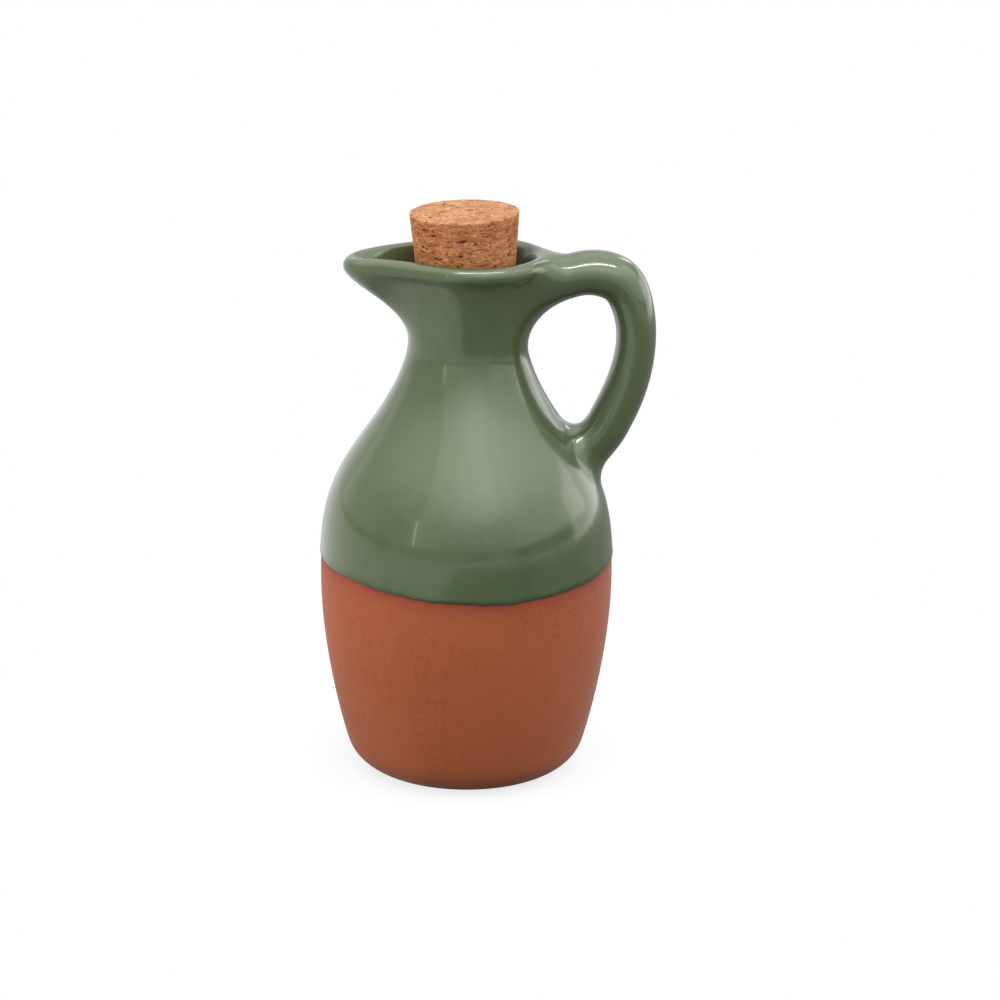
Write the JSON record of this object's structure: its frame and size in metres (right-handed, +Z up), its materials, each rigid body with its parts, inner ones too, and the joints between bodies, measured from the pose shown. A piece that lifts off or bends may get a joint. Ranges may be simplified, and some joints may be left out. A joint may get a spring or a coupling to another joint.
{
  "type": "oil drizzler",
  "caption": "Earthenware oil drizzler with a pulled spout, rolled lip and looped handle, glazed above a bare clay foot and closed by a tapered cork.",
  "frame": {"origin": "centre of the flat base, on the surface the jug stands on", "axes": "+Z up along the body's axis, -X towards the spout, +X towards the handle, +Y to the back"},
  "size_m": [0.0933, 0.082, 0.1604],
  "materials": {
    "glazed_clay": "gloss",
    "cork": "matte"
  },
  "bodies": {
    "root": {"jug": "glazed_clay", "cork_stopper": "cork"}
  },
  "joints": []
}
